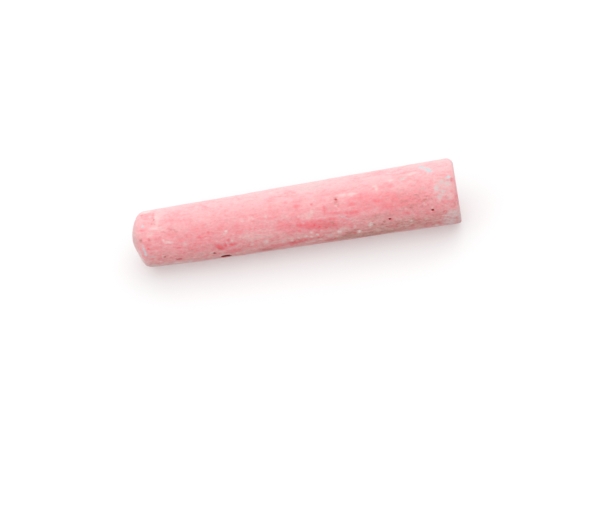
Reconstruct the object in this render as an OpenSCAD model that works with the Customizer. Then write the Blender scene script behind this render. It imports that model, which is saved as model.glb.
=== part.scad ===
// Jumbo pavement chalk: one stick of moulded gypsum, tapered so that it slips out of its
// mould, and worn round at its narrow end.
// It stands on its wide end. Z runs up along the stick, and the origin is the middle of
// the wide end's face.

/* [Stick] */
// Length from the wide end's face to the crown of the worn tip
stick_len = 100; // [70:1:150]
// Diameter of the tapered wall at the wide end
foot_d = 20; // [17:0.1:30]
// Diameter that the wall would have at the full length, had the tip not worn round
neck_d = 17.5; // [14:0.1:17]
// Radius of the rim round the wide end's face
foot_round = 2; // [0.4:0.1:3]

/* [Worn tip] */
// Radius of the shoulder that joins the wall to the crown
shoulder_r = 3; // [1.5:0.1:4]
// Radius of the shallow crown over the tip
crown_r = 13; // [11:0.5:20]

/* [Rubbed flats] */
// Direction that the broad flat faces, in degrees from +X
broad_turn = 180; // [0:5:355]
// Tilt of the broad flat from level, in degrees
broad_tilt = 25; // [18:1:26]
// Height over the crown at which the broad flat's plane meets the stick's axis
broad_lift = 0.4; // [0.1:0.1:0.6]
// Direction that the steep flat faces, in degrees from +X
steep_turn = 240; // [0:5:355]
// Tilt of the steep flat from level, in degrees
steep_tilt = 27; // [24:1:32]
// Height over the crown at which the steep flat's plane meets the stick's axis
steep_lift = 0.7; // [0.4:0.1:1.2]
// Direction that the side flat faces, in degrees from +X
side_turn = 185; // [0:5:355]
// Lean of the side flat towards the axis, in degrees
side_lean = 3; // [2:0.5:6]
// Depth of the side flat under the wall, level with the shoulder's centre
side_deep = 0.6; // [0.2:0.1:0.8]

/* [Air bubbles] */
// Depth of a burst bubble, as a share of its width
bubble_sink = 0.45; // [0.3:0.05:0.5]

/* [Hidden] */
$fn = 96;

foot_r = foot_d / 2;
lean = atan((foot_d - neck_d) / 2 / stick_len);

// Burst bubbles in the wall: share of the length above the foot, direction in degrees
// from +X, length along the stick, and width
BUBBLES = [
    [0.08, 240, 0.9, 0.7],
    [0.21, 235, 0.9, 0.7],
    [0.36, 287, 0.8, 0.4],
    [0.72, 195, 3.2, 2.4],
    [0.75, 215, 1.0, 0.7],
    [0.86, 213, 1.8, 0.4],
    [0.9, 226, 1.0, 0.4],
    [0.915, 309, 0.8, 0.4]
];

// Radius of the wall at a height above the foot
function wall_r(z) = foot_r - z * tan(lean);

// Centre of the rim's arc, which touches the foot's face and the leaning wall
rim_x = foot_r - foot_round * (1 + sin(lean)) / cos(lean);

// The crown's arc is centred on the axis. The shoulder's arc touches it from inside and
// touches the wall, so its centre is the upper root of a quadratic in its height.
crown_z = stick_len - crown_r;
inset_r = foot_r - shoulder_r / cos(lean);
root_a = 1 + pow(tan(lean), 2);
root_b = inset_r * tan(lean) + crown_z;
root_c = pow(inset_r, 2) + pow(crown_z, 2) - pow(crown_r - shoulder_r, 2);
shoulder_z = (root_b + sqrt(pow(root_b, 2) - root_a * root_c)) / root_a;
shoulder_x = inset_r - shoulder_z * tan(lean);

// Where the shoulder's arc runs into the crown's arc
blend = crown_r / (crown_r - shoulder_r);
blend_x = shoulder_x * blend;
blend_z = crown_z + (shoulder_z - crown_z) * blend;

// Half of the stick's section: straight body, rim arc, shoulder arc and crown cap
module half_section() {
    polygon([
        [0, 0],
        [rim_x, 0],
        [rim_x + foot_round * cos(lean), foot_round * (1 + sin(lean))],
        [shoulder_x + shoulder_r * cos(lean), shoulder_z + shoulder_r * sin(lean)],
        [blend_x, blend_z],
        [0, blend_z]
    ]);
    translate([rim_x, foot_round])
        circle(r = foot_round);
    translate([shoulder_x, shoulder_z])
        circle(r = shoulder_r);
    intersection() {
        translate([0, crown_z])
            circle(r = crown_r);
        translate([0, blend_z])
            square([blend_x, stick_len - blend_z]);
    }
}

// What a flat rubbed on the tip takes off: all that lies over a tilted plane
module rubbed_off(turn, tilt, lift) {
    rotate([0, tilt, turn])
        translate([-foot_d, -foot_d, (stick_len + lift) * cos(tilt)])
            cube([2 * foot_d, 2 * foot_d, foot_d]);
}

// What the flat rubbed on the side of the shoulder takes off: all that lies outside a plane
// that leans in towards the tip
module side_rubbed_off() {
    rotate([0, 0, side_turn])
        translate([shoulder_x + shoulder_r - side_deep, 0, shoulder_z])
            rotate([0, -side_lean, 0])
                translate([0, -foot_r, -2 * foot_d])
                    cube([foot_d, foot_d, 3 * foot_d]);
}

// A burst bubble in the wall, drawn out along the stick
module bubble(share, turn, long, wide) {
    z = share * stick_len;
    reach = (long - wide) / 2;
    rotate([0, 0, turn])
        translate([wall_r(z) + wide * (0.5 - bubble_sink), 0, z])
            rotate([0, -lean, 0]) {
                translate([0, 0, -reach])
                    cylinder(d = wide, h = 2 * reach);
                for (side = [-1, 1])
                    translate([0, 0, side * reach])
                        sphere(d = wide);
            }
}

module chalk_stick() {
    color("#f2a8ae")
        difference() {
            rotate_extrude()
                half_section();
            rubbed_off(broad_turn, broad_tilt, broad_lift);
            rubbed_off(steep_turn, steep_tilt, steep_lift);
            side_rubbed_off();
            for (b = BUBBLES)
                bubble(b[0], b[1], b[2], b[3]);
        }
}

chalk_stick();
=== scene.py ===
"""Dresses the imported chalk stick: a worn stick of moulded gypsum chalk on a plain white stage."""

import math
from functools import partial

import bpy
import numpy as np
from bpy.props import FloatProperty, FloatVectorProperty, IntProperty, PointerProperty
from bpy.types import Operator, Panel, PropertyGroup
from mathutils import Matrix, Vector


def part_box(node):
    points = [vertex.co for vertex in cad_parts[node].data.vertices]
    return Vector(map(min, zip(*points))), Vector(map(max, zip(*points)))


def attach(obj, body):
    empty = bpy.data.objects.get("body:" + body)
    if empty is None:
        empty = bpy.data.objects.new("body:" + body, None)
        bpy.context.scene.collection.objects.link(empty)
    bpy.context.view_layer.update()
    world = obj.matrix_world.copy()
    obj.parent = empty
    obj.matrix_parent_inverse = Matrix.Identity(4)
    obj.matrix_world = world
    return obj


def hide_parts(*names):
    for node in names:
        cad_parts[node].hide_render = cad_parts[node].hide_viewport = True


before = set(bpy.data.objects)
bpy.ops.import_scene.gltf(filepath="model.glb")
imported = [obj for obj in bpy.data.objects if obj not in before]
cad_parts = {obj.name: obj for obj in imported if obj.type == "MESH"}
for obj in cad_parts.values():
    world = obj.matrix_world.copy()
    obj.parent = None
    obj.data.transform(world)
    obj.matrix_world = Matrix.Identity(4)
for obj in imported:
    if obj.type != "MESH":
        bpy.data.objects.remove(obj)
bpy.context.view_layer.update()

bl_info = {
    "name": "Worn pavement chalk",
    "version": (1, 0, 0),
    "blender": (4, 5, 0),
    "location": "3D View > Sidebar > Chalk",
    "description": "Builds a worn stick of moulded pavement chalk and a white stage for it",
    "category": "Add Mesh",
}

MM = 0.001
STICK_LOW, STICK_HIGH = (Vector(corner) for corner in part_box("chalk_stick"))
STICK_LENGTH = STICK_HIGH.z - STICK_LOW.z
FOOT_RADIUS = (STICK_HIGH.x - STICK_LOW.x) / 2
UP = Vector((0, 0, 1))

# Widths of the patterns in the surface: those of its form first, and then those of its colours
SWELL = 14 * MM
DRAG_LINE = 0.9 * MM
LUMP = 2.4 * MM
GROOVE = 0.7 * MM
CHIP = 1.8 * MM
PATCH = 2.6 * MM
STREAK = 1.2 * MM
RAGGED_EDGE = 0.9 * MM
GRIT = 0.5 * MM
HAZE = 2.2 * MM

# How far the grooves go up and down, how deep a chip goes, and how near points are welded
GROOVE_DEPTH = 0.12 * MM
CHIP_DEPTH = 0.5 * MM
WELD = 0.001 * MM


# ---------------------------------------------------------------- small helpers


def linear(hex_colour):
    """The linear RGBA of an sRGB hex colour such as "f7a8ac"."""
    channels = [int(hex_colour[i:i + 2], 16) / 255 for i in (0, 2, 4)]
    return [c / 12.92 if c <= 0.04045 else ((c + 0.055) / 1.055) ** 2.4 for c in channels] + [1.0]


def add_node(tree, kind, *inputs, **named):
    """Adds a node. Names in lower case are its settings. The other names, and the unnamed
    values in order, are its inputs. A node given as a value stands for its first output."""
    node = tree.nodes.new(kind)
    for name, value in named.items():
        if name.islower():
            setattr(node, name, value)
    shown = [socket for socket in node.inputs if socket.enabled]
    given = list(zip(shown, inputs))
    for name, value in named.items():
        if not name.islower():
            given.append((next(s for s in shown if s.name == name.replace("_", " ")), value))
    for socket, value in given:
        if isinstance(value, bpy.types.Node):
            value = next(out for out in value.outputs if out.enabled)
        if isinstance(value, bpy.types.NodeSocket):
            tree.links.new(value, socket)
        else:
            socket.default_value = value
    return node


def unit(turn, tilt):
    """The unit vector that leans from straight up by tilt, towards the direction turn."""
    return Vector((math.sin(tilt) * math.cos(turn), math.sin(tilt) * math.sin(turn), math.cos(tilt)))


def link_object(name, data):
    """Adds an object at the origin, unturned and unscaled, with its place in its data."""
    thing = bpy.data.objects.new(name, data)
    bpy.context.scene.collection.objects.link(thing)
    return thing


# ---------------------------------------------------------------- settings


class ChalkForm(PropertyGroup):
    """Sizes of the stick that its box doesn't give."""

    neck_radius: FloatProperty(
        name="Neck radius", description="Radius that the tapered wall would have at full length",
        default=8.75 * MM, unit="LENGTH")
    rim_round: FloatProperty(
        name="Rim rounding", description="Radius of the rim round the wide end",
        default=2.0 * MM, unit="LENGTH")
    shoulder_radius: FloatProperty(
        name="Shoulder radius", description="Radius of the edge between wall and crown",
        default=3.0 * MM, unit="LENGTH")
    crown_radius: FloatProperty(
        name="Crown radius", description="Radius of the shallow crown that use has left",
        default=13.0 * MM, unit="LENGTH")
    row_step: FloatProperty(
        name="Row spacing", description="Distance between rows of faces along the wall",
        default=0.27 * MM, unit="LENGTH")
    segments: IntProperty(
        name="Segments", description="Faces round the stick", default=224, min=64)


class ChalkWear(PropertyGroup):
    """What use and casting have left on the surface."""

    broad_turn: FloatProperty(
        name="Broad flat direction", description="Direction that the broad rubbed flat faces",
        default=math.radians(180), unit="ROTATION")
    broad_tilt: FloatProperty(
        name="Broad flat tilt", description="Tilt of the broad flat from level",
        default=math.radians(25), unit="ROTATION")
    broad_lift: FloatProperty(
        name="Broad flat lift", description="Where its plane crosses the axis, over the crown",
        default=0.4 * MM, unit="LENGTH")
    steep_turn: FloatProperty(
        name="Steep flat direction", description="Direction that the steep rubbed flat faces",
        default=math.radians(240), unit="ROTATION")
    steep_tilt: FloatProperty(
        name="Steep flat tilt", description="Tilt of the steep flat from level",
        default=math.radians(27), unit="ROTATION")
    steep_lift: FloatProperty(
        name="Steep flat lift", description="Where its plane crosses the axis, over the crown",
        default=0.7 * MM, unit="LENGTH")
    side_turn: FloatProperty(
        name="Side flat direction", description="Direction that the side flat faces",
        default=math.radians(185), unit="ROTATION")
    side_tilt: FloatProperty(
        name="Side flat tilt", description="Tilt of the side flat from level",
        default=math.radians(87), unit="ROTATION")
    side_lift: FloatProperty(
        name="Side flat lift", description="Where its plane crosses the axis, over the crown",
        default=151.8 * MM, unit="LENGTH")
    rim_turn: FloatProperty(
        name="Sharp rim direction", description="Direction in which the wide end's rim is sharper",
        default=math.radians(190), unit="ROTATION")
    rim_spare: FloatProperty(
        name="Sharp rim", description="How far the rim stands out past its rounding there",
        default=0.4 * MM, unit="LENGTH")
    waviness: FloatProperty(
        name="Waviness", description="Height of the slow swells left by the mould",
        default=0.05 * MM, unit="LENGTH")
    grain: FloatProperty(
        name="Grain", description="Height of the coarse gypsum grain",
        default=0.05 * MM, unit="LENGTH")
    drag: FloatProperty(
        name="Drag marks", description="Depth of the lines drawn along the stick by the mould",
        default=0.05 * MM, unit="LENGTH")
    bubble_sink: FloatProperty(
        name="Bubble depth", description="Depth of a burst bubble as a share of its width",
        default=0.45, min=0.2, max=0.6)


class ChalkColours(PropertyGroup):
    """Colours of the stick, as linear values of their sRGB hex codes."""

    pink: FloatVectorProperty(
        name="Chalk pink", description="The body colour", subtype="COLOR", size=4,
        default=linear("f8afb3"))
    # Paler body towards the upper edge: partly a veil of loose powder, partly a painted highlight
    # where the lamps fall
    bloom_and_highlight: FloatVectorProperty(
        name="Bloom", description="The body under a veil of loose powder", subtype="COLOR", size=4,
        default=linear("f8cccf"))
    rose: FloatVectorProperty(
        name="Rose", description="Where more pigment settled", subtype="COLOR", size=4,
        default=linear("fa828c"))
    pale: FloatVectorProperty(
        name="Pale pink", description="Where powder has rubbed up", subtype="COLOR", size=4,
        default=linear("f8d2d0"))
    pigment: FloatVectorProperty(
        name="Raw pigment", description="Where it settled thickest", subtype="COLOR", size=4,
        default=linear("fa6874"))
    gypsum: FloatVectorProperty(
        name="Bare gypsum", description="White lumps and scrapes", subtype="COLOR", size=4,
        default=linear("fde6e4"))
    # Multiplied over the lower side, darker towards the bottom
    lower_side_tint: FloatVectorProperty(
        name="Soiling", description="Tint that handling and other sticks lay over the colour",
        subtype="COLOR", size=4, default=linear("e7eee1"))
    grime: FloatVectorProperty(
        name="Grime", description="Tint that the darkest dirt lays over the colour",
        subtype="COLOR", size=4, default=linear("dacbbf"))
    grey_dust: FloatVectorProperty(
        name="Grey dust", description="Dust of many sticks, mixed", subtype="COLOR", size=4,
        default=linear("e6cdcc"))
    blue_dust: FloatVectorProperty(
        name="Blue dust", description="Dust rubbed off a blue stick", subtype="COLOR", size=4,
        default=linear("d4dadc"))
    deep: FloatVectorProperty(
        name="Deep red", description="The shaded bottom of a burst bubble", subtype="COLOR", size=4,
        default=linear("a81420"))


class StageLook(PropertyGroup):
    """The stage, its lamps and the camera."""

    lens: FloatProperty(name="Lens", description="Focal length in millimetres", default=100.0)
    distance: FloatProperty(
        name="Camera distance", description="From the camera to the middle of the stick",
        default=516.5 * MM, unit="LENGTH")
    lean_away: FloatProperty(
        name="Lean away", description="How far the tip leans away from the camera",
        default=math.radians(5.36), unit="ROTATION")
    slope: FloatProperty(
        name="Slope", description="How far the stick slopes in the picture",
        default=math.radians(9.0), unit="ROTATION")
    aside: FloatProperty(
        name="Aside", description="The stick's middle, right of the picture's centre",
        default=-3.7 * MM, unit="LENGTH")
    above: FloatProperty(
        name="Above", description="The stick's middle, above the picture's centre",
        default=11.0 * MM, unit="LENGTH")
    look_down: FloatProperty(
        name="Look down", description="How steeply the camera looks down on the table",
        default=math.radians(47), unit="ROTATION")
    overhead: FloatProperty(
        name="Overhead lamp", description="Strength of the soft lamp over the stick", default=0.8)
    front: FloatProperty(
        name="Front lamp", description="Strength of the very soft lamp over the camera",
        default=1.87)
    side: FloatProperty(
        name="Side lamp", description="Strength of the soft lamp off the worn tip", default=0.42)
    surround: FloatProperty(
        name="Surround", description="Light that comes from all round", default=0.43)
    table_size: FloatProperty(
        name="Table size", description="Width of the table and the floor",
        default=0.8, unit="LENGTH")


# ---------------------------------------------------------------- the stick's form


def arc(centre, radius, start, end, count):
    """Points on an arc from the angle start to the angle end, both included."""
    steps = [start + (end - start) * i / (count - 1) for i in range(count)]
    return [(centre[0] + radius * math.cos(a), centre[1] + radius * math.sin(a)) for a in steps]


def straight(start, end, step):
    """Points along a line, from just past its start to just short of its end."""
    count = max(2, round(math.dist(start, end) / step))
    return [tuple(a + (b - a) * i / count for a, b in zip(start, end)) for i in range(1, count)]


def half_section(form):
    """The stick's half section as (radius, height) points, from the foot's centre to the crown."""
    lean = math.atan((FOOT_RADIUS - form.neck_radius) / STICK_LENGTH)
    rim, shoulder, crown = form.rim_round, form.shoulder_radius, form.crown_radius
    rim_centre = (FOOT_RADIUS - rim * (1 + math.sin(lean)) / math.cos(lean), rim)
    crown_z = STICK_LENGTH - crown
    inset = FOOT_RADIUS - shoulder / math.cos(lean)
    a = 1 + math.tan(lean) ** 2
    b = inset * math.tan(lean) + crown_z
    c = inset ** 2 + crown_z ** 2 - (crown - shoulder) ** 2
    shoulder_z = (b + math.sqrt(b * b - a * c)) / a
    shoulder_centre = (inset - shoulder_z * math.tan(lean), shoulder_z)
    blend = math.atan2(shoulder_z - crown_z, shoulder_centre[0])

    rim_arc = arc(rim_centre, rim, -math.pi / 2, lean, 14)
    shoulder_arc = arc(shoulder_centre, shoulder, lean, blend, 12)
    crown_arc = arc((0, crown_z), crown, blend, math.pi / 2, 32)[1:]
    face = straight((0, 0), rim_arc[0], 3 * form.row_step)
    wall = straight(rim_arc[-1], shoulder_arc[0], form.row_step)
    return [(0, 0)] + face + rim_arc + wall + shoulder_arc + crown_arc


def wall_radius(form, height):
    """Radius of the tapered wall at a height."""
    return FOOT_RADIUS + (form.neck_radius - FOOT_RADIUS) * height / STICK_LENGTH


# Burst bubbles: share of the length above the foot, direction in degrees from +X, length
# along the stick in mm, and width in mm
BUBBLES = (
    (0.08, 240, 0.9, 0.7),
    (0.21, 235, 0.9, 0.7),
    (0.36, 287, 0.8, 0.4),
    (0.72, 195, 3.2, 2.4),
    (0.75, 215, 1.0, 0.7),
    (0.86, 213, 1.8, 0.4),
    (0.9, 226, 1.0, 0.4),
    (0.915, 309, 0.8, 0.4),
)


def bubble_lines(form, sink):
    """A mesh with one edge along the core of each burst bubble, and its radius on the points."""
    points, edges, radii = [], [], []
    for share, turn, long, wide in BUBBLES:
        height = share * STICK_LENGTH
        out = unit(math.radians(turn), math.pi / 2)
        core = out * (wall_radius(form, height) + wide * MM * (0.5 - sink)) + UP * height
        reach = UP * ((long - wide) * MM / 2)
        edges.append((len(points), len(points) + 1))
        points += [core - reach, core + reach]
        radii += [wide * MM / 2] * 2
    mesh = bpy.data.meshes.new("bubble_lines")
    mesh.from_pydata(points, edges, [])
    mesh.attributes.new("bubble_radius", "FLOAT", "POINT").data.foreach_set("value", radii)
    return mesh


MATHS = "ShaderNodeMath"
VECTORS = "ShaderNodeVectorMath"
NOISE = "ShaderNodeTexNoise"
RANGE = "ShaderNodeMapRange"
MIX = "ShaderNodeMix"
STORE = "GeometryNodeStoreNamedAttribute"
MOVE = "GeometryNodeSetPosition"


def rubbed_flat(tree, stick, name, given, soft, stored_as=None):
    """Presses what lies over a rubbed flat's plane down to it, with a soft edge. Where it is
    given a name to store it as, it keeps how far each point went."""
    add = partial(add_node, tree)
    spot = add("GeometryNodeInputPosition")
    turn, tilt, lift = (given[f"{name} {word}"] for word in ("turn", "tilt", "lift"))
    sine = add(MATHS, tilt, operation="SINE")
    cosine = add(MATHS, tilt, operation="COSINE")
    east = add(MATHS, add(MATHS, turn, operation="COSINE"), sine, operation="MULTIPLY")
    north = add(MATHS, add(MATHS, turn, operation="SINE"), sine, operation="MULTIPLY")
    facing = add("ShaderNodeCombineXYZ", east, north, cosine)
    top = add(MATHS, lift, STICK_LENGTH, operation="ADD")
    plane = add(MATHS, top, cosine, operation="MULTIPLY")
    height = add(VECTORS, spot, facing, operation="DOT_PRODUCT")
    over = add(MATHS, height, plane, operation="SUBTRACT")
    push = add(MATHS, over, 0.0, soft, operation="SMOOTH_MAX")
    if stored_as:
        stick = add(STORE, stick, Name=stored_as, Value=push, data_type="FLOAT", domain="POINT")
    down = add(MATHS, push, -1.0, operation="MULTIPLY")
    return add(MOVE, stick, Offset=add(VECTORS, facing, down, operation="SCALE"))


def worn_stick_tree():
    """Geometry Nodes that turn the half section into the stick, and then wear it."""
    tree = bpy.data.node_groups.new("worn_chalk_stick", "GeometryNodeTree")
    for name, kind in (
            ("Section", "Object"), ("Bubble lines", "Object"), ("Segments", "Int"),
            ("Broad turn", "Float"), ("Broad tilt", "Float"), ("Broad lift", "Float"),
            ("Steep turn", "Float"), ("Steep tilt", "Float"), ("Steep lift", "Float"),
            ("Side turn", "Float"), ("Side tilt", "Float"), ("Side lift", "Float"),
            ("Rim turn", "Float"), ("Rim spare", "Float"),
            ("Waviness", "Float"), ("Grain", "Float"), ("Drag marks", "Float"),
            ("Seed", "Float"), ("Material", "Material")):
        tree.interface.new_socket(name, in_out="INPUT", socket_type="NodeSocket" + kind)
    tree.interface.new_socket("Geometry", in_out="OUTPUT", socket_type="NodeSocketGeometry")
    given = tree.nodes.new("NodeGroupInput").outputs
    add = partial(add_node, tree)

    # A grid with one row for each point of the section, rolled round the axis
    section = add("GeometryNodeObjectInfo", Object=given["Section"]).outputs["Geometry"]
    rows = add("GeometryNodeAttributeDomainSize", section)
    columns = add(MATHS, given["Segments"], 1.0, operation="ADD")
    grid = add("GeometryNodeMeshGrid", Vertices_X=rows, Vertices_Y=columns)
    index = add("GeometryNodeInputIndex")
    row = add(MATHS, add(MATHS, index, 0.5, operation="ADD"), columns, operation="DIVIDE")
    row = add(MATHS, row, operation="FLOOR")
    column = add(MATHS, index, columns, operation="FLOORED_MODULO")
    spot = add("GeometryNodeInputPosition")
    outline = add("GeometryNodeSampleIndex", section, spot, row, data_type="FLOAT_VECTOR")
    outline = add("ShaderNodeSeparateXYZ", outline).outputs
    angle = add(MATHS, column, math.tau, operation="MULTIPLY")
    angle = add(MATHS, angle, given["Segments"], operation="DIVIDE")
    east = add(MATHS, outline["X"], add(MATHS, angle, operation="COSINE"), operation="MULTIPLY")
    north = add(MATHS, outline["X"], add(MATHS, angle, operation="SINE"), operation="MULTIPLY")
    rolled = add("ShaderNodeCombineXYZ", east, north, outline["Z"])
    stick = add(MOVE, grid, Position=rolled)
    stick = add("GeometryNodeMergeByDistance", stick, Distance=WELD)
    stick = add("GeometryNodeFlipFaces", stick)

    # Slow swells first, so that the rubbed flats cut them level. They and the grain fade out
    # towards the foot's face, which stays flat.
    height = add("ShaderNodeSeparateXYZ", spot).outputs["Z"]
    off_foot = add(MATHS, add(MATHS, height, 2 * MM, operation="DIVIDE"), 1.0, 0.2,
                   operation="SMOOTH_MIN")
    normal = add("GeometryNodeInputNormal")
    swell = add(NOISE, spot, given["Seed"], 1 / SWELL, 1.0, noise_dimensions="4D")
    swell = add(RANGE, swell, 0.3, 0.7, -1.0, 1.0)
    swell = add(MATHS, swell, given["Waviness"], operation="MULTIPLY")
    swell = add(MATHS, swell, off_foot, operation="MULTIPLY")
    stick = add(MOVE, stick, Offset=add(VECTORS, normal, swell, operation="SCALE"))
    stick = rubbed_flat(tree, stick, "Broad", given, soft=0.5 * MM)
    stick = rubbed_flat(tree, stick, "Steep", given, soft=0.3 * MM, stored_as="rubbed_off")
    stick = rubbed_flat(tree, stick, "Side", given, soft=0.2 * MM)

    # The rim has stayed sharper on one side. It stands out most where it faces halfway between
    # outwards and down.
    down = add("ShaderNodeSeparateXYZ", normal).outputs["Z"]
    upright = add(MATHS, down, down, operation="MULTIPLY")
    level = add(MATHS, 1.0, upright, operation="SUBTRACT")
    halfway = add(MATHS, add(MATHS, upright, level, operation="MULTIPLY"), 4.0,
                  operation="MULTIPLY")
    halfway = add(MATHS, halfway, 1.5, operation="POWER")
    east, north = (add(MATHS, given["Rim turn"], operation=way) for way in ("COSINE", "SINE"))
    towards = add("ShaderNodeCombineXYZ", east, north)
    there = add(VECTORS, spot, towards, operation="DOT_PRODUCT")
    there = add(RANGE, there, 0.5 * FOOT_RADIUS, 0.8 * FOOT_RADIUS, 0.0, 1.0)
    there = add(MATHS, there, add(RANGE, height, 3 * MM, 2.2 * MM), operation="MULTIPLY")
    spare = add(MATHS, halfway, given["Rim spare"], operation="MULTIPLY")
    spare = add(MATHS, spare, there, operation="MULTIPLY")
    stick = add(MOVE, stick, Offset=add(VECTORS, normal, spare, operation="SCALE"))

    # Lines dragged along the wall by the mould, and coarse grain
    along = add(VECTORS, spot, (1.0, 1.0, 0.08), operation="MULTIPLY")
    drag = add(NOISE, along, given["Seed"], 1 / DRAG_LINE, 3.0, 0.6, noise_dimensions="4D")
    drag = add(RANGE, drag, 0.3, 0.7, -1.0, 1.0)
    drag = add(MATHS, drag, given["Drag marks"], operation="MULTIPLY")
    lumps = add(NOISE, spot, given["Seed"], 1 / LUMP, 4.0, 0.7, noise_dimensions="4D")
    lumps = add(RANGE, lumps, 0.3, 0.7, -1.0, 1.0)
    relief = add(MATHS, lumps, given["Grain"], drag, operation="MULTIPLY_ADD")
    relief = add(MATHS, relief, off_foot, operation="MULTIPLY")

    # Grooves scratched down the steep flat
    across = add(VECTORS, spot, (0.1, 1.0, 1.0), operation="MULTIPLY")
    groove = add(NOISE, across, given["Seed"], 1 / GROOVE, 1.0, noise_dimensions="4D")
    groove = add(RANGE, groove, 0.3, 0.7, -GROOVE_DEPTH, GROOVE_DEPTH)
    rubbed = add("GeometryNodeInputNamedAttribute", "rubbed_off", data_type="FLOAT")
    rubbed = add(RANGE, rubbed, 0.0, 0.25 * MM)
    relief = add(MATHS, groove, rubbed, relief, operation="MULTIPLY_ADD")

    # Chips round the rim of the wide end
    rim = add(RANGE, height, 2.2 * MM, 0.0, 0.0, 1.0)
    flat_spot = add(VECTORS, spot, (1.0, 1.0, 0.0), operation="MULTIPLY")
    from_axis = add(VECTORS, flat_spot, operation="LENGTH")
    at_rim = add(RANGE, from_axis, FOOT_RADIUS - 1.6 * MM, FOOT_RADIUS - 0.6 * MM)
    chip = add(NOISE, spot, given["Seed"], 1 / CHIP, 3.0, 0.6, noise_dimensions="4D")
    chip = add(RANGE, chip, 0.58, 0.78, 0.0, 1.0)
    chip = add(MATHS, chip, add(MATHS, rim, at_rim, operation="MULTIPLY"), operation="MULTIPLY")
    relief = add(MATHS, chip, -CHIP_DEPTH, relief, operation="MULTIPLY_ADD")

    # Burst bubbles: what lies nearer to a bubble's core line than its radius is hollowed out
    cores = add("GeometryNodeObjectInfo", Object=given["Bubble lines"]).outputs["Geometry"]
    near = add("GeometryNodeProximity", cores, target_element="EDGES").outputs["Distance"]
    own = add("GeometryNodeInputNamedAttribute", "bubble_radius", data_type="FLOAT")
    which = add("GeometryNodeSampleNearest", cores, domain="POINT")
    radius = add("GeometryNodeSampleIndex", cores, own, which, data_type="FLOAT")
    inside = add(MATHS, add(MATHS, radius, 2.0, operation="POWER"),
                 add(MATHS, near, 2.0, operation="POWER"), operation="SUBTRACT")
    dip = add(MATHS, add(MATHS, inside, 0.0, operation="MAXIMUM"), operation="SQRT")
    relief = add(MATHS, relief, dip, operation="SUBTRACT")
    stick = add(STORE, stick, Name="pit", Value=dip, data_type="FLOAT", domain="POINT")
    stick = add(MOVE, stick, Offset=add(VECTORS, normal, relief, operation="SCALE"))

    stick = add("GeometryNodeSetShadeSmooth", stick)
    stick = add("GeometryNodeRealizeInstances", stick)
    stick = add("GeometryNodeSetMaterial", stick, Material=given["Material"])
    add("NodeGroupOutput", stick)
    return tree


def made_by_nodes(name, tree, values):
    """A plain mesh object made by a tree, with each named input set by its identifier."""
    host = link_object(name + "_host", bpy.data.meshes.new(name + "_host"))
    modifier = host.modifiers.new(tree.name, "NODES")
    modifier.node_group = tree
    for item in tree.interface.items_tree:
        if item.item_type == "SOCKET" and item.in_out == "INPUT":
            modifier[item.identifier] = values[item.name]
    depsgraph = bpy.context.evaluated_depsgraph_get()
    mesh = bpy.data.meshes.new_from_object(host.evaluated_get(depsgraph), depsgraph=depsgraph)
    mesh.name = name
    host.modifiers.remove(modifier)
    bpy.data.objects.remove(host)
    return link_object(name, mesh)


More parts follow.
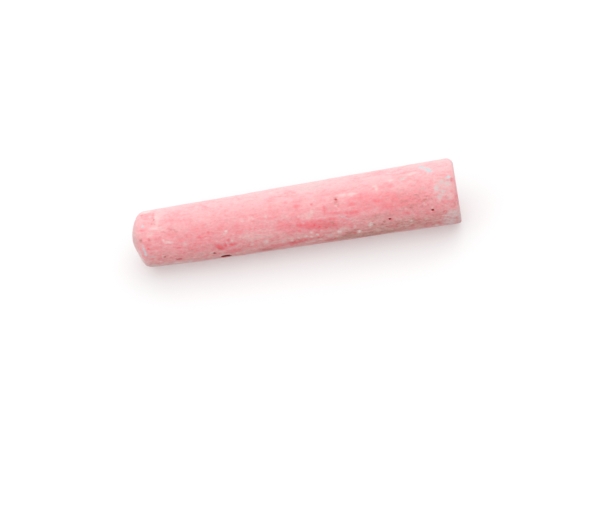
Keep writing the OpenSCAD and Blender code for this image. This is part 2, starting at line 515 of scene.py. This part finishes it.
# Marks on the stick, from its tip down to its foot: height above the foot in mm, direction in
# degrees from +X, length along the stick in mm, width round it in mm, slant of the length in
# degrees, and strength
ROSE_MARKS = (
    (95.4, 328, 1.2, 1, 0, 1.4), (95.3, 289, 1.8, 0.7, 0, 1.3), (94.2, 251.3, 1, 0.9, 0, 1.5),
    (94.2, 260, 2.4, 2.6, 0, 0.6), (93.6, 326, 3, 4, 0, 0.7), (93.5, 268, 1, 1, 0, 2.2),
    (92.4, 311, 1, 1, 0, 1), (92.2, 300.4, 0.9, 1.1, 0, 1.5), (92, 250, 3, 2, 0, 0.4),
    (91.8, 316, 1, 5, 0, 0.9), (89.1, 279, 1.4, 1, 0, 1), (85.9, 213, 2.6, 1.8, 0, 1.2),
    (85.5, 247, 3, 2.4, 0, 0.9), (84, 255, 2, 1, 0, 0.9), (83, 314, 9, 3, 0, 0.5),
    (78.5, 242, 7, 5, 0, 0.5), (78.5, 246, 1.4, 1.2, 0, 1.2), (78.3, 258, 2.2, 1.2, 20, 1),
    (75.7, 321, 7, 1.2, 52, 0.7), (75.3, 264, 1, 0.9, 0, 2), (74.5, 214, 1.6, 2.6, 0, 0.9),
    (73.6, 212, 1, 1, 0, 2), (73, 230, 4, 1.8, 42, 2.4), (72.8, 226.8, 1.2, 0.9, 0, 2.6),
    (71, 234, 1, 2, 0, 2.3), (69.8, 242.5, 1.3, 1, 0, 2), (69.5, 213, 6, 3, 0, 1.2),
    (68.8, 232.2, 2.2, 1.2, 0, 2.6), (61.8, 232, 1.2, 1, 0, 1.3), (59.9, 248, 1.4, 1.2, 0, 0.9),
    (59.3, 200, 4.5, 2, 0, 1.2), (56, 208, 7, 2, 8, 1.2), (56, 291, 1.4, 2.4, 0, 0.6),
    (53, 254, 6, 2.4, 0, 0.9), (51.4, 204, 1.3, 1, 0, 3), (51, 248, 5, 4, 0, 0.9),
    (51, 297, 1.1, 1, 0, 0.9), (49.8, 213, 6, 1.8, -15, 1.9), (48.5, 251, 0.9, 1, 0, 1.6),
    (48.3, 215.5, 3, 0.9, -6, 2.1), (48.3, 317, 4.5, 0.8, 39, 0.8), (48.1, 239, 1.2, 1.2, 0, 1.8),
    (48, 286, 2.4, 1.4, 0, 1.4), (47.6, 250, 1.2, 1, 0, 2.1), (47.6, 252, 3, 1.4, 0, 1.1),
    (47.5, 296, 4, 2, 0, 0.55), (47.3, 217, 2.5, 1.4, 0, 1.7), (45.4, 215, 1, 1, 0, 2),
    (44, 245.5, 8, 2.4, 10, 1.5), (43.5, 246, 0.9, 0.9, 0, 2.6), (43.3, 216.5, 5, 1, 0, 1),
    (43.3, 230.5, 0.9, 0.9, 0, 1.5), (43.3, 285, 1, 0.9, 0, 1.5), (43.1, 216.8, 1.2, 1, 0, 2.5),
    (43, 246, 16, 3.4, 7, 1.1), (42.4, 221.5, 0.8, 0.9, 0, 2.2), (42.1, 242, 0.9, 0.9, 0, 2.6),
    (42, 238, 2.6, 2.4, 0, 1.2), (40.1, 238, 1, 0.9, 0, 1.8), (40, 201, 4, 1.6, 0, 1.3),
    (40, 253, 8, 1, 0, 1.3), (39.8, 272, 0.8, 2.4, 0, 1), (38.6, 243, 5, 2.2, 10, 1.4),
    (38, 204, 1.4, 1.2, 0, 1.6), (37.9, 240, 1, 0.9, 0, 1.7), (37, 299, 8, 1, 0, 0.8),
    (36.9, 232.3, 1.1, 1, 0, 1.5), (36, 286, 1.2, 2, 0, 0.8), (35.5, 262, 7, 0.9, 5, 1.1),
    (33.3, 253, 1.2, 1, 0, 1.3), (32.1, 214, 1.2, 1.2, 0, 1.7), (31.8, 259, 5, 1.2, 4, 1.6),
    (31.6, 274, 2.6, 1.4, 0, 1.2), (28, 286, 8, 2, 0, 0.7), (27, 267, 6, 2, 0, 0.6),
    (24.2, 272, 3.6, 2, 0, 1.4), (23, 271, 22, 5.4, 0, 0.7), (20.5, 234, 1.2, 1, 0, 1.3),
    (20, 336, 13, 5, 0, 0.5), (19.3, 296, 2.4, 1.8, 0, 0.8), (18.6, 270, 3.2, 3, 0, 1.2),
    (18, 262, 10, 4, 0, 0.8), (16, 242, 2.4, 1.6, 0, 1.3), (13, 318, 9, 5, 0, 0.6),
    (12.4, 238, 2.2, 1.4, 0, 0.9), (9.6, 237, 2.2, 2, 0, 0.9), (7.7, 236, 1.2, 1, 0, 1.2),
    (5.6, 206, 3, 2.6, 0, 1.6), (4.5, 233, 1.2, 1.2, 0, 1.6), (2.3, 288, 0.8, 0.9, 0, 1.8),
    (2.2, 250, 0.8, 1.6, 0, 0.6), (0.5, 257, 0.8, 1.4, 0, 0.8),
)
POWDER_AND_HIGHLIGHT_MARKS = (
    # The mark at 94 mm and 197 degrees is a painted highlight along the lower edge
    (97.6, 232, 1.4, 3.4, 0, 1), (97.4, 212, 2.4, 5, 0, 1.3), (94, 197, 8, 2.2, 0, 2.5),
    (93.9, 340, 3, 1.3, 0, 2.6), (93, 223.5, 1.1, 1, 0, 1.3), (93, 277, 2, 1.6, 0, 1.2),
    (91.8, 215, 0.9, 0.9, 0, 1.6), (91.4, 289.5, 3, 1.1, 0, 1.8), (90.9, 313.6, 0.8, 1.2, 0, 1.9),
    (90.4, 229.4, 0.8, 0.8, 0, 1.6), (90.4, 287, 4.4, 1.2, 15, 1.2), (90.4, 309, 1, 5, 0, 1.3),
    (90, 322, 2, 8, 0, 0.8), (89.2, 261.5, 0.7, 1.2, 0, 1.6), (87.8, 257.6, 2.6, 0.7, 8, 1.9),
    # The mark at 86 mm and 191 degrees is a painted highlight along the lower edge
    (87.1, 200.5, 1.8, 1.4, 0, 2.3), (86, 191, 12, 1.4, 0, 1), (83, 248, 1.2, 1.4, 0, 0.8),
    (82.9, 197, 1.8, 1.1, 0, 2.1), (76.8, 207, 2, 1.3, 0, 1), (75.4, 218, 2, 1.2, 0, 1.1),
    (74.6, 300, 0.6, 1.6, 0, 0.6), (72.8, 203, 1.6, 0.8, 0, 2.4), (71, 204, 1.4, 0.8, 0, 2),
    (70.5, 238.7, 0.7, 1.2, 0, 1), (70.2, 257, 2, 1, 0, 1.3), (70, 261, 1, 0.7, 0, 2),
    (69.7, 224, 1.4, 1.4, 0, 0.9), (68.8, 241, 0.8, 0.8, 0, 1.6), (68.3, 205, 1.4, 1.2, 0, 1.1),
    (67.3, 297, 2, 1.6, 0, 0.6), (66.2, 206, 4, 2, 0, 0.6), (64.7, 274, 1, 1.6, 0, 1.1),
    (63.4, 245, 5.5, 1.6, 0, 0.9), (63.1, 225, 1.1, 1, 0, 1.5), (62, 243, 18, 4.5, 0, 0.4),
    (62, 277, 2, 1, 0, 1), (61.9, 259, 1, 1, 0, 1.2), (60.8, 212, 1.6, 1.3, 0, 1.1),
    (60, 240, 9, 2.4, 0, 0.8), (58.8, 226, 1.6, 1.8, 0, 1.7), (57.4, 276, 1, 1, 0, 1.1),
    (55.3, 328, 1.8, 1.4, 0, 1.6), (54, 223, 1.4, 1.6, 0, 0.9), (53.7, 220, 1.4, 1.1, 0, 1.1),
    (52.5, 224, 20, 1.8, 0, 0.6), (51, 219.4, 1.1, 1, 0, 1.6), (49.2, 219, 2.6, 1.4, 0, 0.9),
    (49, 222.4, 1, 0.9, 0, 1.5), (48.5, 231.5, 0.9, 1, 0, 0.7), (48.3, 205, 1.2, 1.2, 0, 1),
    (47.7, 267, 1, 1, 0, 1.2), (46.8, 224, 1.6, 1.2, 0, 1.2), (46.7, 255, 1.2, 1, 0, 0.8),
    (46.5, 205, 1.2, 1.2, 0, 0.8), (46.5, 224.4, 1, 0.9, 0, 2), (46, 229, 5, 1.6, 0, 0.5),
    (45.5, 205, 7, 1, -6, 0.9), (45.5, 266, 5, 2.2, 0, 0.8), (45.1, 222.5, 0.9, 0.9, 0, 1.6),
    (44.8, 232, 0.9, 0.9, 0, 2.2), (43.6, 271, 1, 1.6, 0, 1), (43.2, 225.3, 0.9, 0.9, 0, 2),
    (42.8, 209.4, 1.6, 0.9, 0, 1.7), (42.8, 218.5, 4, 1.4, 0, 0.8), (41.7, 233, 0.9, 0.9, 0, 1.3),
    (40.8, 222, 1, 0.9, 0, 1.4), (39.6, 217, 2, 1.4, 0, 0.9), (38.4, 221.5, 1, 1, 0, 1.1),
    (37.2, 210.2, 1.2, 1.1, 0, 1.7), (36.5, 224.5, 1.3, 1.4, 0, 2.3), (36, 275.7, 1, 0.9, 0, 1.4),
    (35, 226, 4, 2.2, 0, 0.8), (34.5, 256, 1.2, 1, 0, 0.6), (34, 293, 3, 0.9, 0, 1.7),
    (33.6, 219, 1.2, 1, 0, 1.1), (32, 244, 0.9, 0.9, 0, 1.4), (31.8, 228.6, 1.1, 1.4, 0, 1.5),
    (31.2, 258, 1, 1, 0, 0.4), (31, 242, 1.2, 1.2, 0, 0.8), (31, 292, 2.6, 0.9, 0, 2),
    (30.6, 216.4, 1.2, 1.4, 0, 2.5), (28.4, 200, 1.6, 1.2, 0, 1.6), (26.9, 230, 1.5, 1.8, 0, 2.3),
    (26.4, 227.5, 1, 1, 0, 1.3), (26, 209, 1.2, 1.1, 0, 1.4), (24.5, 211, 3, 2.5, 0, 0.9),
    (24.1, 300, 1, 0.8, 0, 1.4), (23.6, 296.5, 0.9, 2.2, 0, 1.6), (23.3, 216, 1.6, 1.2, 0, 1.2),
    (23.3, 220, 2.4, 1.6, 0, 0.9), (21.6, 225, 2, 1.6, 0, 0.9), (21, 203, 1.3, 1.2, 0, 1.4),
    (19, 307, 1.8, 0.9, 0, 1.8), (18, 214, 2, 1.6, 0, 1.1), (17.5, 226, 4, 2.6, 0, 0.5),
    (16.3, 216, 4, 2.4, 0, 1), (14.7, 224, 1.4, 2, 0, 1.9), (13.7, 220, 2, 1.6, 0, 0.9),
    (12.5, 314, 3.6, 0.9, -10, 1.5), (10.3, 256, 1, 1.2, 0, 1), (10.2, 224, 1.3, 1.2, 0, 1.4),
    (9.3, 261.5, 1, 1.4, 0, 0.9), (9.2, 325, 2.6, 1.2, 40, 1), (7.9, 244, 1, 1, 0, 1.3),
    (7.5, 198, 1.4, 1.2, 0, 2), (7.4, 310, 1.6, 1.6, 0, 0.9), (7.4, 316, 2.8, 1.6, 50, 1.1),
    (6.2, 253, 1.1, 1, 0, 1.3), (5.4, 259, 1.5, 2.2, 0, 1.1), (4.5, 221, 1.2, 1.2, 0, 1.6),
    # The mark at 0.5 mm and 207 degrees is a painted highlight on the foot's rim
    (3, 243, 3, 2, 0, 0.6), (2, 261, 1.8, 1.8, 0, 0.8), (0.5, 207, 1.4, 4, 0, 1.1),
)
DUST_AND_HIGHLIGHT_MARKS = (
    (99, 270, 3, 9, 0, 1), (98, 250, 2, 8, 0, 0.4), (97.5, 228, 1.6, 5, 0, 0.8),
    (96.6, 214, 3, 5, 0, 0.8), (95, 234, 1.4, 0.5, 0, 1.2), (94, 200, 7, 2.6, 0, 0.6),
    (93.6, 230, 3, 0.5, 0, 1.4), (86, 200, 12, 1.6, 0, 0.6), (43, 327, 10, 5, 0, 1),
    (15.2, 306, 2.4, 1, -10, 1.7), (5.9, 277, 1.6, 1.8, 0, 1.7), (5.2, 262, 1.3, 1.6, 0, 1.4),
    (4.2, 271, 1.4, 1.2, 0, 1.6), (4.1, 287, 1.4, 1.8, 0, 1.7), (4, 277, 6, 7, 0, 0.9),
    (3.5, 207, 5.5, 5, 0, 1.1), (3, 325, 4, 14, 0, 0.6), (2.5, 225, 4.5, 3.5, 0, 1.1),
    # The mark at 0.6 mm and 214 degrees is a painted highlight on the foot's rim
    (2.4, 283, 1.8, 1.6, 0, 1.9), (0.6, 214, 1.6, 9, 0, 1.1),
)
BLUE_MARKS = (
    (95.5, 244, 0.9, 3.6, -4, 1.7), (95.1, 298, 0.9, 0.8, 0, 1.7), (45, 206, 6, 1.2, -8, 0.4),
    (34, 252, 5, 0.7, 27, 0.65), (9.2, 326, 2.8, 1.3, 40, 1.5), (7.4, 316, 3, 1.6, 50, 1.4),
    (3, 205, 4, 4, 0, 0.2), (1.8, 294.3, 0.9, 1, 0, 3), (1.6, 286, 0.8, 0.7, 0, 0.9),
)
GRIME_MARKS = (
    (96.2, 269.6, 1, 1, 0, 1.5), (93.4, 268, 0.8, 0.8, 0, 1), (91.4, 302, 0.7, 0.9, 0, 0.8),
    (86.5, 279, 6, 1.5, 0, 0.3), (82, 263, 0.8, 0.7, 0, 0.8), (72.8, 226.8, 1.2, 1, 0, 1.1),
    (59, 199, 5, 2.5, 0, 0.9), (49, 214, 6, 2.6, -10, 0.7), (43.5, 216, 5, 1.4, 0, 0.5),
    (39.6, 200.5, 4.6, 1.7, 0, 0.8), (38.6, 243, 5, 2.2, 10, 0.5), (38, 204, 1.4, 1.2, 0, 1.8),
    (36, 285, 1.4, 2, 0, 0.8), (34, 207, 6, 2.4, 0, 1.6), (33.6, 214, 3, 2.4, 0, 1.2),
    (32.1, 214, 1.2, 1.2, 0, 1.6), (31.5, 222, 3, 1.2, 0, 0.9), (28, 200, 24, 4, 0, 1.4),
    (25.8, 228.6, 0.9, 0.9, 0, 1.5), (24, 243, 12, 2.4, 0, 0.6), (23.5, 226, 0.9, 1.2, 0, 1.2),
    (22.7, 232, 1, 0.9, 0, 1.9), (20, 232, 16, 2.5, 0, 0.4), (18, 216, 30, 6, 0, 0.8),
    (13.1, 203, 1.3, 1.2, 0, 1.1), (13, 258, 12, 7, 0, 0.45), (12.5, 223, 5, 2, 0, 0.5),
    (10.5, 212, 6, 4.5, 0, 0.8), (8.8, 203, 1.2, 1, 0, 1.5), (5.5, 206, 1.6, 1.4, 0, 0.7),
    (4.5, 233, 1.2, 1.2, 0, 0.8), (3.4, 290, 1.2, 1, 0, 0.9), (1.2, 246, 1.6, 0.7, 40, 0.8),
    (1.2, 289, 1, 1.4, 0, 0.5),
)


def mark_strength(mesh, marks):
    """The strength of the strongest mark at each point of the mesh. It falls to half at the
    mark's edge."""
    points = np.empty(len(mesh.vertices) * 3)
    mesh.vertices.foreach_get("co", points)
    points = points.reshape(-1, 3) / MM
    turn = np.arctan2(points[:, 1], points[:, 0])
    radius = np.hypot(points[:, 0], points[:, 1])
    strength = np.zeros(len(points))
    for height, direction, long, wide, slant, most in marks:
        up = points[:, 2] - height
        round_it = ((turn - math.radians(direction) + math.pi) % math.tau - math.pi) * radius
        sine, cosine = math.sin(math.radians(slant)), math.cos(math.radians(slant))
        along = (up * cosine + round_it * sine) / (long / 2)
        across = (round_it * cosine - up * sine) / (wide / 2)
        strength = np.maximum(strength, most / (1 + (along ** 2 + across ** 2) ** 2))
    return strength


# ---------------------------------------------------------------- materials


def moulded_gypsum(colours):
    """Moulded gypsum chalk: dry, soft and powdery. It gives a flat pastel with no gloss: pigment
    drawn out in streaks along the stick, pale powder rubbed up in specks, a darker lower side,
    painted shade in the grain and the burst bubbles, and a painted highlight towards the upper edge."""
    material = bpy.data.materials.new("moulded_gypsum_chalk")
    material.use_nodes = True
    tree = material.node_tree
    tree.nodes.clear()
    add = partial(add_node, tree)
    place = add("ShaderNodeTexCoord").outputs["Object"]
    rose, powder, dust, blue, grime, pit = (
        add("ShaderNodeAttribute", attribute_name=name).outputs["Fac"]
        for name in ("rose", "powder", "dust", "blue", "grime", "pit"))

    # From 1 on the side that lay uppermost to -1 on the side that lay on the other sticks
    side = add("ShaderNodeSeparateXYZ", place).outputs["X"]
    side = add(MATHS, side, FOOT_RADIUS, operation="DIVIDE")
    # Stronger towards the lower side, where the grain shade below paints relief shading under
    # grazing light
    contrast = add(RANGE, side, 0.1, -0.8, 0.65, 1.3)

    # Powder lies in patches from 3 mm down to single grains, drawn out a little along the
    # stick and aslant. The grains are coarser than real gypsum, so that they show.
    aslant = add("ShaderNodeMapping", place, Rotation=(0, math.radians(4), 0), Scale=(1, 1, 2),
                 vector_type="TEXTURE")
    patches = add(NOISE, aslant, Scale=1 / PATCH, Detail=3.5, Roughness=0.85)
    drawn = add("ShaderNodeMapping", place, Scale=(1, 1, 12), vector_type="TEXTURE")
    streaks = add(NOISE, drawn, Scale=1 / STREAK, Detail=3.0, Roughness=0.7)
    ragged = add(NOISE, aslant, Scale=1 / RAGGED_EDGE, Detail=4.0, Roughness=0.8)
    grit = add(NOISE, aslant, Scale=1 / GRIT, Detail=2.0, Roughness=0.8)
    edge = add(MATHS, ragged, 4.0, -2.0, operation="MULTIPLY_ADD")
    smear = add(MATHS, add(MATHS, ragged, streaks, operation="ADD"), 3.0, -3.0,
                operation="MULTIPLY_ADD")

    # Tone: from 0, rose, over 0.5, the body colour, to 1, powdery
    tone = add(MATHS, patches, 0.5, operation="SUBTRACT")
    tone = add(MATHS, tone, contrast, operation="MULTIPLY")
    tone = add(MATHS, tone, 1.3, add(RANGE, side, 0.0, -0.4, 0.5, 0.45), operation="MULTIPLY_ADD")
    fine = add(MATHS, streaks, 0.5, operation="SUBTRACT")
    tone = add(MATHS, fine, 0.6, tone, operation="MULTIPLY_ADD")
    fine = add(MATHS, grit, 0.5, operation="SUBTRACT")
    fine = add(MATHS, fine, contrast, operation="MULTIPLY")
    tone = add(MATHS, fine, 0.5, tone, operation="MULTIPLY_ADD")
    # The body grows paler towards the upper side: powder bloom, and a painted highlight towards the
    # lit upper edge
    body = add(MIX, add(RANGE, side, 0.0, 0.95), tuple(colours.pink), tuple(colours.bloom_and_highlight),
               data_type="RGBA")
    rose = add(MATHS, rose, smear, operation="ADD")
    powder = add(MATHS, powder, edge, operation="ADD")
    rosy = add(RANGE, rose, 0.2, 1.4, 0.0, 0.9)
    powdery = add(RANGE, powder, 0.2, 1.4, 0.0, 0.9)
    tone = add(MIX, rosy, tone, 0.05)
    tone = add(MIX, powdery, tone, 0.95)
    colour = add(MIX, add(RANGE, tone, 0.5, 0.0), body, tuple(colours.rose), data_type="RGBA")
    colour = add(MIX, add(RANGE, tone, 0.5, 1.0), colour, tuple(colours.pale), data_type="RGBA")

    # Darker and a little greener towards the lower side, and darker grime where it was handled most
    lower_side_mask = add(RANGE, side, -0.2, -1.0, 0.0, 0.75)
    lower_side_mask = add(RANGE, add(MATHS, edge, 0.5, lower_side_mask, operation="MULTIPLY_ADD"), 0.1, 1.1)
    colour = add(MIX, lower_side_mask, colour, tuple(colours.lower_side_tint), data_type="RGBA",
                 blend_type="MULTIPLY")
    dirty = add(RANGE, add(MATHS, edge, -1.0, grime, operation="MULTIPLY_ADD"), 0.2, 1.4)
    dirty = add(MATHS, dirty, add(MATHS, grime, 2.0, operation="MULTIPLY"), operation="MINIMUM")
    colour = add(MIX, dirty, colour, tuple(colours.grime), data_type="RGBA",
                 blend_type="MULTIPLY")

    # Knots of raw pigment and lumps of bare gypsum show where the marks are strongest
    for layer, paint in ((rose, colours.pigment), (powder, colours.gypsum)):
        bare = add(RANGE, layer, 1.4, 3.0)
        colour = add(MIX, bare, colour, tuple(paint), data_type="RGBA")

    # Dust is rubbed on from other sticks, thinly all over and thickly in its marks
    haze = add(NOISE, place, Scale=1 / HAZE, Detail=3.0, Roughness=0.7)
    haze = add(RANGE, haze, 0.5, 0.75, 0.0, 0.35)
    colour = add(MIX, haze, colour, tuple(colours.grey_dust), data_type="RGBA")
    for layer, paint in ((dust, colours.grey_dust), (blue, colours.blue_dust)):
        rubbed = add(RANGE, add(MATHS, layer, edge, operation="ADD"), 0.3, 1.6)
        rubbed = add(MATHS, rubbed, add(MATHS, layer, 2.0, operation="MULTIPLY"),
                     operation="MINIMUM")
        colour = add(MIX, rubbed, colour, tuple(paint), data_type="RGBA")

    # Painted shade of the grain: single grains lighter and darker, more so towards the lower side
    painted_grain_shade = add(MATHS, fine, 0.4, 1.0, operation="MULTIPLY_ADD")
    colour = add(VECTORS, colour, painted_grain_shade, operation="SCALE")

    # Burst bubbles: painted shade, deep red at their bottoms and darker where they are deeper
    painted_pit_shade = add(RANGE, pit, 0.02 * MM, 0.22 * MM)
    colour = add(MIX, painted_pit_shade, colour, tuple(colours.deep), data_type="RGBA")
    colour = add(VECTORS, colour, add(RANGE, pit, 0.25 * MM, 0.7 * MM, 1.0, 0.3),
                 operation="SCALE")

    height = add(MATHS, patches, add(MATHS, grit, 0.4, operation="MULTIPLY"), operation="ADD")
    bump = add("ShaderNodeBump", Strength=0.8, Distance=0.2 * MM, Height=height)
    shader = add("ShaderNodeBsdfPrincipled", Base_Color=colour, Roughness=0.92, IOR=1.52,
                 Specular_IOR_Level=0.2, Diffuse_Roughness=0.5, Sheen_Weight=0.2,
                 Sheen_Roughness=0.5, Normal=bump)
    add("ShaderNodeOutputMaterial", shader)
    return material


# How light each board's paint is, and how much light of its own it adds for the camera
TABLE_PAINT, TABLE_LIGHT = 0.7, 0.25
FLOOR_PAINT, FLOOR_LIGHT = 0.75, 0.45


def camera_sees(add):
    """1 where the camera sees a thing itself, mirrored or through glass, and 0 for other light."""
    path = add("ShaderNodeLightPath").outputs
    seen = add(MATHS, path["Is Camera Ray"], path["Is Glossy Ray"], operation="MAXIMUM")
    return add(MATHS, seen, path["Is Transmission Ray"], operation="MAXIMUM")


def white_stage(name, paint, own_light):
    """Matt white board, seen from its front only. Its own faint light for the camera lifts it to
    plain white, and it still takes the stick's soft shadow."""
    material = bpy.data.materials.new(name)
    material.use_nodes = True
    tree = material.node_tree
    tree.nodes.clear()
    add = partial(add_node, tree)
    matt = add("ShaderNodeBsdfDiffuse", (paint, paint, paint, 1))
    glow = add(MATHS, camera_sees(add), own_light, operation="MULTIPLY")
    front = add("ShaderNodeAddShader", matt, add("ShaderNodeEmission", Strength=glow))
    back = add("ShaderNodeBsdfTransparent")
    facing = add("ShaderNodeNewGeometry").outputs["Backfacing"]
    add("ShaderNodeOutputMaterial", add("ShaderNodeMixShader", facing, front, back))
    return material


# ---------------------------------------------------------------- operators


class CHALK_OT_stick(Operator):
    """Builds the worn chalk stick in place of its plain solid"""

    bl_idname = "chalk.stick"
    bl_label = "Chalk stick"

    def execute(self, context):
        form, wear = context.scene.chalk_form, context.scene.chalk_wear
        section = bpy.data.meshes.new("section")
        outline = [(x, 0, z) for x, z in half_section(form)]
        section.from_pydata(outline, [(i, i + 1) for i in range(len(outline) - 1)], [])
        helpers = [link_object("section", section),
                   link_object("bubble_lines", bubble_lines(form, wear.bubble_sink))]
        stick = made_by_nodes("worn_chalk_stick", worn_stick_tree(), {
            "Section": helpers[0], "Bubble lines": helpers[1], "Segments": form.segments,
            "Broad turn": wear.broad_turn, "Broad tilt": wear.broad_tilt,
            "Broad lift": wear.broad_lift, "Steep turn": wear.steep_turn,
            "Steep tilt": wear.steep_tilt, "Steep lift": wear.steep_lift,
            "Side turn": wear.side_turn, "Side tilt": wear.side_tilt,
            "Side lift": wear.side_lift,
            "Rim turn": wear.rim_turn, "Rim spare": wear.rim_spare,
            "Waviness": wear.waviness, "Grain": wear.grain, "Drag marks": wear.drag,
            "Seed": 3.0, "Material": moulded_gypsum(context.scene.chalk_colours)})
        for helper in helpers:
            bpy.data.meshes.remove(helper.data)
        for name, marks in (("rose", ROSE_MARKS), ("powder", POWDER_AND_HIGHLIGHT_MARKS), ("dust", DUST_AND_HIGHLIGHT_MARKS),
                            ("blue", BLUE_MARKS), ("grime", GRIME_MARKS)):
            layer = stick.data.attributes.new(name, "FLOAT", "POINT")
            layer.data.foreach_set("value", mark_strength(stick.data, marks))
        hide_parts("chalk_stick")
        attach(stick, "root")
        return {"FINISHED"}


# The floor lies this far under the stick's foot, so that the two faces don't coincide
FLOOR_GAP = 0.02 * MM


def board(name, centre, facing, size, material):
    """A square board that only the camera sees, so that it takes shadow and sheds no light."""
    turn = facing.to_track_quat("Z", "Y").to_matrix()
    corners = [centre + turn @ Vector((x * size / 2, y * size / 2, 0))
               for x, y in ((-1, -1), (1, -1), (1, 1), (-1, 1))]
    mesh = bpy.data.meshes.new(name)
    mesh.from_pydata(corners, [], [(0, 1, 2, 3)])
    mesh.materials.append(material)
    made = link_object(name, mesh)
    made.visible_diffuse = made.visible_glossy = made.visible_shadow = False
    made.visible_transmission = made.visible_volume_scatter = False


def lamp(name, towards, strength, spread):
    """A large soft lamp, far off in the direction towards."""
    light = bpy.data.lights.new(name, "SUN")
    light.energy = strength
    light.angle = spread
    made = link_object(name, light)
    made.matrix_world = towards.to_track_quat("Z", "Y").to_matrix().to_4x4()


class CHALK_OT_stage(Operator):
    """Builds the white table and floor, the lamps, the world and the camera"""

    bl_idname = "chalk.stage"
    bl_label = "Stage"

    def execute(self, context):
        form, look = context.scene.chalk_form, context.scene.chalk_stage
        middle = (STICK_LOW + STICK_HIGH) / 2

        # The table touches the wall of the stick all along, behind and below it in the picture
        lean = math.atan((FOOT_RADIUS - form.neck_radius) / STICK_LENGTH)
        across = Vector((math.cos(look.look_down), -math.sin(look.look_down), 0))
        facing = across * math.cos(lean) - UP * math.sin(lean)
        touch = -across * wall_radius(form, middle.z) + UP * middle.z
        board("table", touch, facing, look.table_size,
              white_stage("white_table", TABLE_PAINT, TABLE_LIGHT))
        under = UP * (STICK_LOW.z - FLOOR_GAP)
        board("floor", under, UP, look.table_size,
              white_stage("white_floor", FLOOR_PAINT, FLOOR_LIGHT))

        # Directions from the stick, as seen in the picture. The first two lamps stand some
        # degrees up from the line to the camera, and the overhead one a little past upright.
        back = Vector((0, -math.cos(look.lean_away), -math.sin(look.lean_away)))
        right = Vector((0, math.sin(look.lean_away), -math.cos(look.lean_away)))
        above = Vector((1, 0, 0))
        overhead, front = (above * math.sin(rise) + back * math.cos(rise)
                           for rise in (math.radians(110), math.radians(30)))
        lamp("overhead", overhead + right * 0.25, look.overhead, math.radians(90))
        lamp("front", front, look.front, math.radians(120))
        lamp("side", above * -0.15 + back * 0.2 - right, look.side, math.radians(90))

        world = bpy.data.worlds.new("white_surround")
        world.use_nodes = True
        tree = world.node_tree
        tree.nodes.clear()
        add = partial(add_node, tree)
        strength = add(RANGE, camera_sees(add), 0.0, 1.0, look.surround, 1.0)
        add("ShaderNodeOutputWorld", add("ShaderNodeBackground", (1, 1, 1, 1), strength))
        context.scene.world = world
        context.scene.view_settings.view_transform = "Standard"

        # The camera, turned so that the stick lies across the picture with its tip to the left
        data = bpy.data.cameras.new("camera")
        data.lens = look.lens
        camera = link_object("camera", data)
        turned = Matrix.Rotation(-look.slope, 3, back)
        right, above = turned @ right, turned @ above
        place = middle + back * look.distance - right * look.aside - above * look.above
        camera.matrix_world = Matrix.Translation(place) @ Matrix(
            (right, above, back)).transposed().to_4x4()
        context.scene.camera = camera
        return {"FINISHED"}


class CHALK_PT_sidebar(Panel):
    """Lists the pieces and their settings"""

    bl_idname = "CHALK_PT_sidebar"
    bl_label = "Pavement chalk"
    bl_space_type = "VIEW_3D"
    bl_region_type = "UI"
    bl_category = "Chalk"

    def draw(self, context):
        scene = context.scene
        for group in (scene.chalk_form, scene.chalk_wear, scene.chalk_colours):
            for name in group.__annotations__:
                self.layout.prop(group, name)
        self.layout.operator(CHALK_OT_stick.bl_idname)
        for name in scene.chalk_stage.__annotations__:
            self.layout.prop(scene.chalk_stage, name)
        self.layout.operator(CHALK_OT_stage.bl_idname)


CLASSES = (ChalkForm, ChalkWear, ChalkColours, StageLook, CHALK_OT_stick, CHALK_OT_stage,
           CHALK_PT_sidebar)


def register():
    for cls in CLASSES:
        bpy.utils.register_class(cls)
    bpy.types.Scene.chalk_form = PointerProperty(type=ChalkForm)
    bpy.types.Scene.chalk_wear = PointerProperty(type=ChalkWear)
    bpy.types.Scene.chalk_colours = PointerProperty(type=ChalkColours)
    bpy.types.Scene.chalk_stage = PointerProperty(type=StageLook)


def unregister():
    for name in ("chalk_form", "chalk_wear", "chalk_colours", "chalk_stage"):
        delattr(bpy.types.Scene, name)
    for cls in reversed(CLASSES):
        bpy.utils.unregister_class(cls)


def main():
    register()
    bpy.ops.chalk.stage()
    bpy.ops.chalk.stick()


if __name__ == "__main__":
    main()
